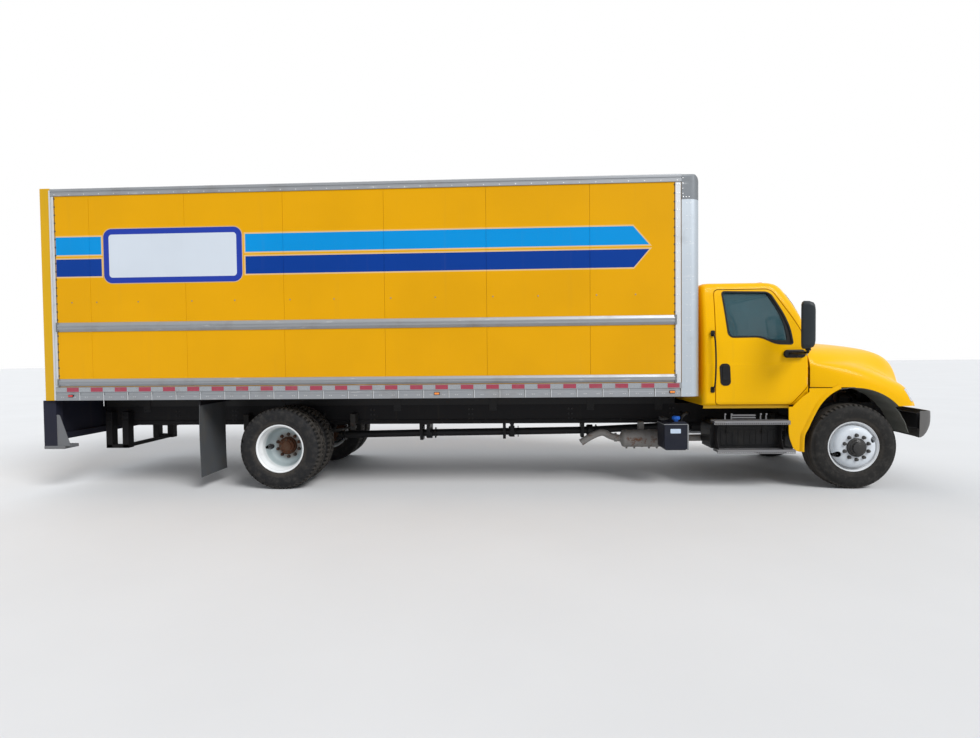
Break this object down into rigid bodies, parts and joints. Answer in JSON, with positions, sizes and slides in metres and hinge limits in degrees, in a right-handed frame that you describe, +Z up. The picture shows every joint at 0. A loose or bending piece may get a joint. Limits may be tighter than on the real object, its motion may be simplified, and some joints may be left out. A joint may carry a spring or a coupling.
{
  "type": "box truck",
  "caption": "Conventional-cab box truck with a long dry-freight body, steered front wheels, twin rear wheels, opening cab doors and a forward-tilting hood.",
  "frame": {"origin": "on the ground, midway between the two ends of the truck, on its centreline", "axes": "+X towards the front bumper, +Y towards the truck's left side, +Z up"},
  "size_m": [10.891, 3.06, 3.726],
  "materials": {
    "body_yellow": "satin",
    "cab_yellow": "gloss",
    "silver_rail": "satin",
    "wheel_white": "satin",
    "chassis_black": "satin",
    "tyre": "matte",
    "rubber": "matte",
    "glass": "gloss",
    "grey_plastic": "matte",
    "seat_fabric": "matte",
    "bare_steel": "satin",
    "cast_grey": "rough",
    "lamp_lens": "gloss",
    "clear_lens": "gloss",
    "deck_wood": "matte",
    "roof_white": "satin"
  },
  "bodies": {
    "chassis": {"front_axle": "cast_grey", "rear_axle": "chassis_black", "springs": "chassis_black", "frame_rails": "chassis_black", "frame_crossmembers": "chassis_black", "body_sills": "chassis_black", "engine": "cast_grey", "driveline": "cast_grey", "radiator": "chassis_black", "front_bumper": "silver_rail", "splash_panels": "cab_yellow", "battery_box": "chassis_black", "fuel_tank": "silver_rail", "def_tank": "grey_plastic", "exhaust": "bare_steel", "air_tanks": "chassis_black", "ramp": "silver_rail", "box_floor": "deck_wood", "box_sides": "body_yellow", "side_rails": "silver_rail", "box_front": "silver_rail", "box_roof": "roof_white", "rear_frame": "cab_yellow", "roll_door": "body_yellow", "rear_bumper": "chassis_black", "mud_flaps": "rubber", "marker_lamps": "lamp_lens", "cab_shell": "cab_yellow", "cab_glass": "glass", "cab_seats": "seat_fabric", "dashboard": "grey_plastic"},
    "knuckle_left": {"knuckle_left": "cast_grey"},
    "knuckle_right": {"knuckle_right": "cast_grey"},
    "tie_rod": {"tie_rod": "chassis_black"},
    "wheel_front_left": {"tyre_front_left": "tyre", "wheel_front_left": "wheel_white"},
    "wheel_front_right": {"tyre_front_right": "tyre", "wheel_front_right": "wheel_white"},
    "wheels_rear_left": {"tyres_rear_left": "tyre", "wheels_rear_left": "wheel_white"},
    "wheels_rear_right": {"tyres_rear_right": "tyre", "wheels_rear_right": "wheel_white"},
    "door_left": {"door_left": "cab_yellow", "door_glass_left": "glass", "mirror_left": "grey_plastic"},
    "door_right": {"door_right": "cab_yellow", "door_glass_right": "glass", "mirror_right": "grey_plastic"},
    "hood": {"hood": "cab_yellow", "grille": "silver_rail", "headlamps": "clear_lens"}
  },
  "joints": [
    {"name": "steer_left", "type": "hinge", "parent": "chassis", "child": "knuckle_left", "pos_m": [4.4295, 0.86, 0.506], "axis": [0, 0, 1], "range_deg": [-35, 35]},
    {"name": "steer_right", "type": "hinge", "parent": "chassis", "child": "knuckle_right", "pos_m": [4.4295, -0.86, 0.506], "axis": [0, 0, 1], "range_deg": [-35, 35]},
    {"name": "tie_rod_pin", "type": "hinge", "parent": "knuckle_left", "child": "tie_rod", "pos_m": [4.2395, 0.86, 0.392], "axis": [0, 0, 1], "range_deg": [-35, 35]},
    {"name": "roll_front_left", "type": "hinge", "parent": "knuckle_left", "child": "wheel_front_left", "pos_m": [4.4295, 1.025, 0.506], "axis": [0, 1, 0], "continuous": true},
    {"name": "roll_front_right", "type": "hinge", "parent": "knuckle_right", "child": "wheel_front_right", "pos_m": [4.4295, -1.025, 0.506], "axis": [0, 1, 0], "continuous": true},
    {"name": "roll_rear_left", "type": "hinge", "parent": "chassis", "child": "wheels_rear_left", "pos_m": [-2.4795, 0.91, 0.506], "axis": [0, 1, 0], "continuous": true},
    {"name": "roll_rear_right", "type": "hinge", "parent": "chassis", "child": "wheels_rear_right", "pos_m": [-2.4795, -0.91, 0.506], "axis": [0, 1, 0], "continuous": true},
    {"name": "door_left_swing", "type": "hinge", "parent": "chassis", "child": "door_left", "pos_m": [3.9095, 1.09, 1.5], "axis": [0, 0, -1], "range_deg": [0, 70]},
    {"name": "door_right_swing", "type": "hinge", "parent": "chassis", "child": "door_right", "pos_m": [3.9095, -1.09, 1.5], "axis": [0, 0, 1], "range_deg": [0, 70]},
    {"name": "hood_tilt", "type": "hinge", "parent": "chassis", "child": "hood", "pos_m": [5.3545, 0, 0.94], "axis": [0, 1, 0], "range_deg": [0, 70]}
  ],
  "couplings": [
    {"joint": "steer_right", "follows": "steer_left", "ratio": 1},
    {"joint": "tie_rod_pin", "follows": "steer_left", "ratio": -1}
  ]
}
